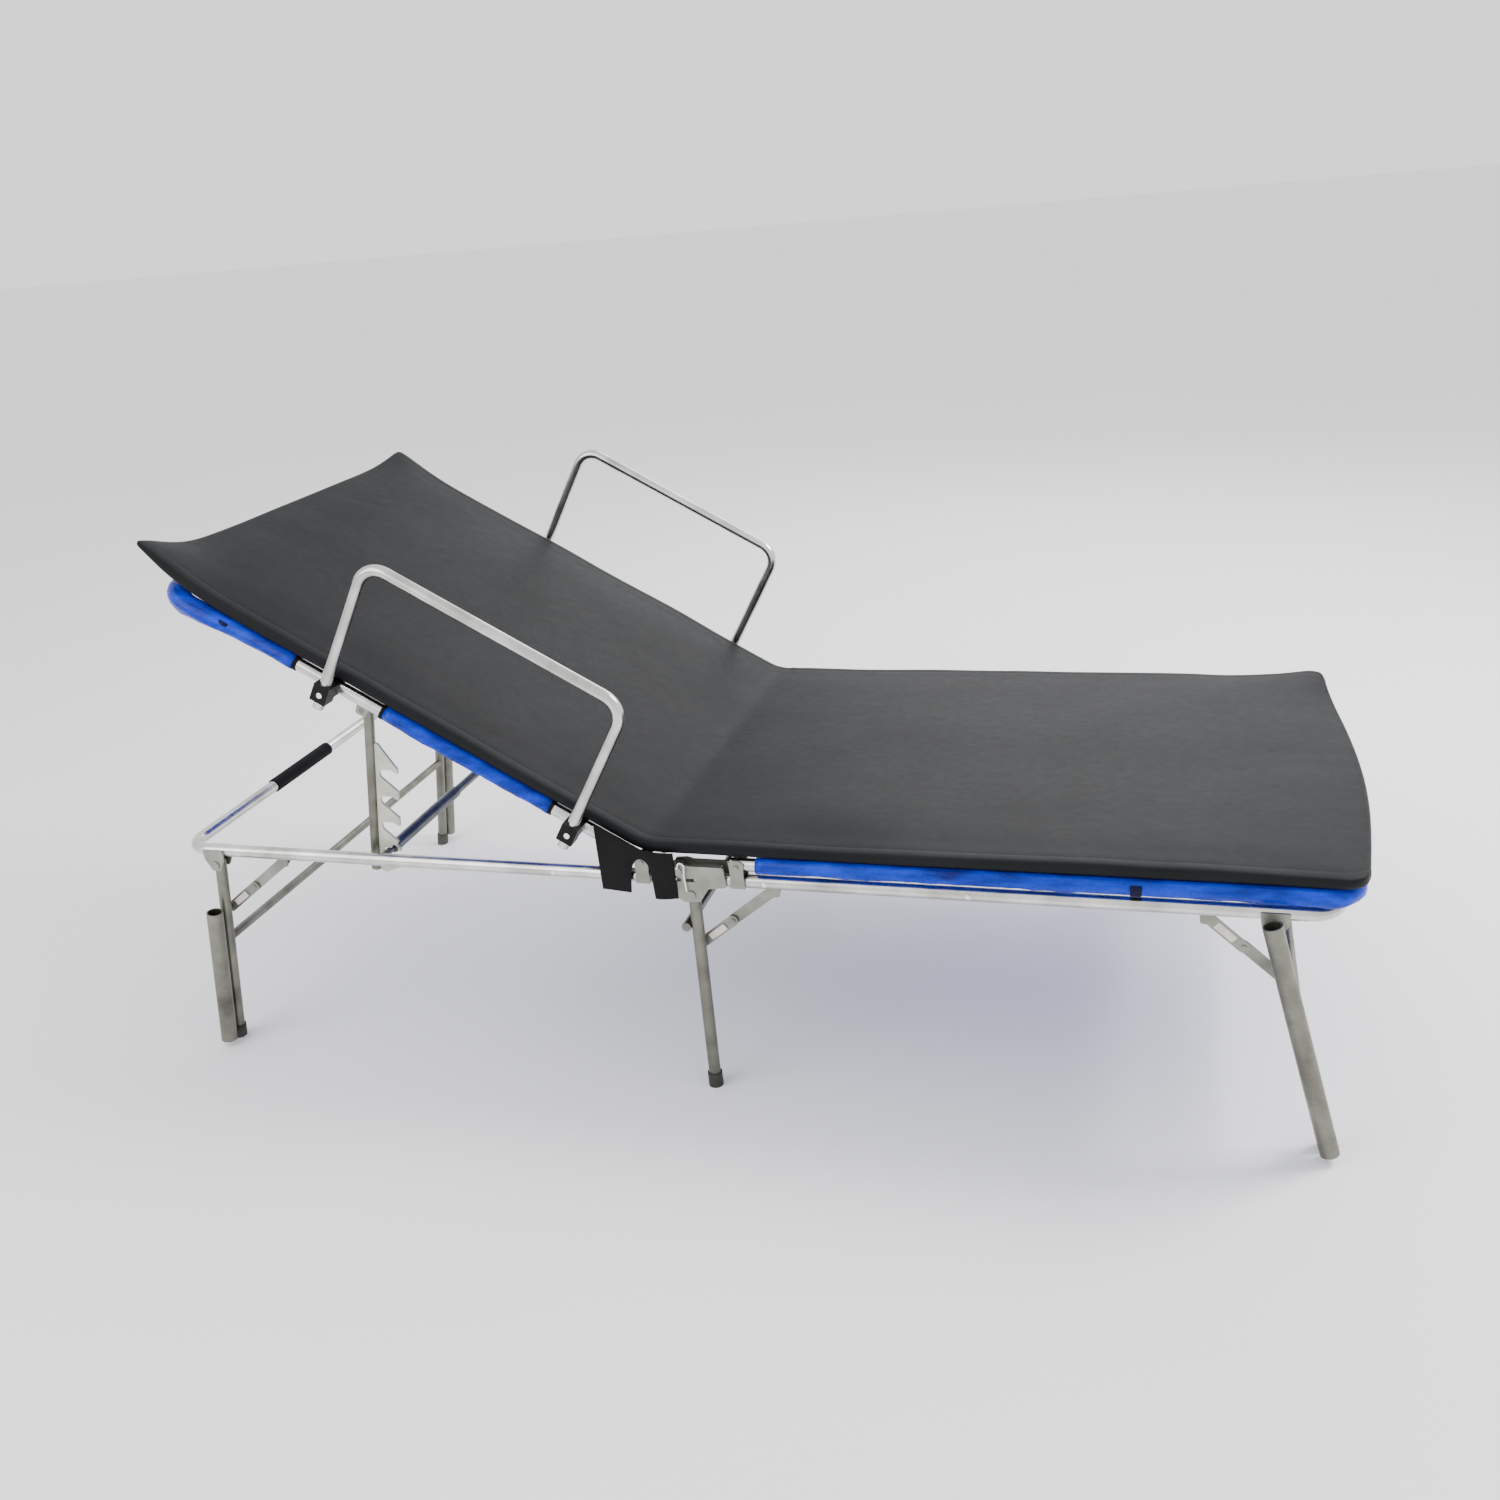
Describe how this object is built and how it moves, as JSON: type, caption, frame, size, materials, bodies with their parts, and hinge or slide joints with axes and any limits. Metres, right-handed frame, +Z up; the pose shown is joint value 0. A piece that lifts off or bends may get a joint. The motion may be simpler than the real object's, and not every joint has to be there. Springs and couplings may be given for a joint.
{
  "type": "folding field cot",
  "caption": "Folding field cot with a raised padded backrest on a notched rack, fold-down side rails, pole sockets and folding legs.",
  "frame": {"origin": "on the floor, at the middle of the cot's overall length and width", "axes": "+X towards the foot end, +Y towards the lying patient's left, +Z up"},
  "size_m": [1.9874, 0.9162, 0.9425],
  "materials": {
    "tube": "bright zinc-plated tube",
    "leg": "dull plated tube",
    "fitting": "yellow-grey plated plate",
    "rack": "off-white plate",
    "clamp": "black",
    "grip": "black foam grip",
    "foot": "dark grey",
    "cloth": "glossy royal blue coated cloth",
    "binding": "black tape",
    "mat": "charcoal coated cloth",
    "clip": "bright wire",
    "dark_bar": "dark grey"
  },
  "bodies": {
    "base_foot": {"foot_rail": "tube", "hip_gussets": "fitting", "hip_pins": "fitting", "hip_clips": "clip", "foot_deck": "tube", "foot_brackets": "fitting", "fabric_foot": "cloth", "mat_foot": "mat", "mid_leg_bolts": "fitting", "foot_leg_bolts": "fitting", "foot_gussets": "fitting", "mid_brace_lugs": "fitting", "foot_brace_lugs": "fitting"},
    "head_frame": {"head_rail": "tube", "head_ears": "fitting", "backrest_brackets": "fitting", "carry_grip": "grip", "rack_bar": "dark_bar", "head_gussets": "fitting", "head_leg_bolts": "fitting", "head_brace_lugs": "fitting"},
    "backrest": {"backrest_frame": "tube", "fabric_back": "cloth", "fabric_bindings": "binding", "mat_back": "mat", "mat_hip": "mat", "rack_lugs": "fitting"},
    "rack": {"rack_rod": "leg", "rack_posts": "leg", "rack_plates": "rack"},
    "handrail_left": {"handrail_left": "tube", "clamp_left_1": "clamp", "clamp_left_2": "clamp"},
    "handrail_right": {"handrail_right": "tube", "clamp_right_1": "clamp", "clamp_right_2": "clamp"},
    "head_legs": {"head_leg_left": "leg", "head_leg_right": "leg", "head_leg_bar": "leg", "head_feet": "foot", "head_socket_left": "leg", "head_socket_right": "leg"},
    "head_upper_links": {"head_upper_links": "fitting"},
    "head_lower_links": {"head_lower_links": "fitting"},
    "mid_legs": {"mid_leg_left": "leg", "mid_leg_right": "leg", "mid_leg_bar": "leg", "mid_feet": "foot"},
    "mid_upper_links": {"mid_upper_links": "fitting"},
    "mid_lower_links": {"mid_lower_links": "fitting"},
    "foot_legs": {"foot_leg_left": "leg", "foot_leg_right": "leg", "foot_leg_bar": "leg", "foot_feet": "foot", "foot_socket_left": "leg", "foot_socket_right": "leg"},
    "foot_upper_links": {"foot_upper_links": "fitting"},
    "foot_lower_links": {"foot_lower_links": "fitting"}
  },
  "joints": [
    {"name": "half_fold", "type": "hinge", "parent": "base_foot", "child": "head_frame", "pos_m": [-0.03025, 0, 0.418], "axis": [0, 1, 0], "range_deg": [0, 100]},
    {"name": "backrest_tilt", "type": "hinge", "parent": "head_frame", "child": "backrest", "pos_m": [-0.09025, 0, 0.428], "axis": [0, 1, 0], "range_deg": [-30, 0], "deforming": ["mat_hip"]},
    {"name": "rack_swing", "type": "hinge", "parent": "backrest", "child": "rack", "pos_m": [-0.56584, 0, 0.67025], "axis": [0, 1, 0], "range_deg": [0, 111]},
    {"name": "handrail_left_swing", "type": "hinge", "parent": "backrest", "child": "handrail_left", "pos_m": [-0.09025, 0.411, 0.428], "axis": [-0.866, 0, 0.5], "range_deg": [0, 90]},
    {"name": "handrail_right_swing", "type": "hinge", "parent": "backrest", "child": "handrail_right", "pos_m": [-0.09025, -0.411, 0.428], "axis": [0.866, 0, -0.5], "range_deg": [0, 90]},
    {"name": "head_legs_fold", "type": "hinge", "parent": "head_frame", "child": "head_legs", "pos_m": [-0.91425, 0, 0.375], "axis": [0, -1, 0], "range_deg": [0, 98.64]},
    {"name": "head_upper_turn", "type": "hinge", "parent": "head_frame", "child": "head_upper_links", "pos_m": [-0.79225, 0, 0.375], "axis": [0, -1, 0], "range_deg": [-37.26, 0]},
    {"name": "head_lower_turn", "type": "hinge", "parent": "head_legs", "child": "head_lower_links", "pos_m": [-0.92988, 0, 0.27218], "axis": [0, -1, 0], "range_deg": [0, 45.09]},
    {"name": "mid_legs_fold", "type": "hinge", "parent": "base_foot", "child": "mid_legs", "pos_m": [-0.01025, 0, 0.375], "axis": [0, -1, 0], "range_deg": [0, 90]},
    {"name": "mid_upper_turn", "type": "hinge", "parent": "base_foot", "child": "mid_upper_links", "pos_m": [0.12075, 0, 0.375], "axis": [0, -1, 0], "range_deg": [-38.95, 0]},
    {"name": "mid_lower_turn", "type": "hinge", "parent": "mid_legs", "child": "mid_lower_links", "pos_m": [-0.01025, 0, 0.271], "axis": [0, -1, 0], "range_deg": [0, 52.05]},
    {"name": "foot_legs_fold", "type": "hinge", "parent": "base_foot", "child": "foot_legs", "pos_m": [0.86975, 0, 0.375], "axis": [0, 1, 0], "range_deg": [0, 104.65]},
    {"name": "foot_upper_turn", "type": "hinge", "parent": "base_foot", "child": "foot_upper_links", "pos_m": [0.77775, 0, 0.375], "axis": [0, 1, 0], "range_deg": [-42.11, 0]},
    {"name": "foot_lower_turn", "type": "hinge", "parent": "foot_legs", "child": "foot_lower_links", "pos_m": [0.89756, 0, 0.26857], "axis": [0, 1, 0], "range_deg": [0, 34.24]}
  ],
  "couplings": [
    {"joint": "rack_swing", "follows": "backrest_tilt", "ratio": -3.6967},
    {"joint": "head_upper_turn", "follows": "head_legs_fold", "ratio": -0.37268},
    {"joint": "head_lower_turn", "follows": "head_legs_fold", "ratio": 0.45208},
    {"joint": "mid_upper_turn", "follows": "mid_legs_fold", "ratio": -0.42718},
    {"joint": "mid_lower_turn", "follows": "mid_legs_fold", "ratio": 0.57282},
    {"joint": "foot_upper_turn", "follows": "foot_legs_fold", "ratio": -0.39766},
    {"joint": "foot_lower_turn", "follows": "foot_legs_fold", "ratio": 0.32243}
  ]
}
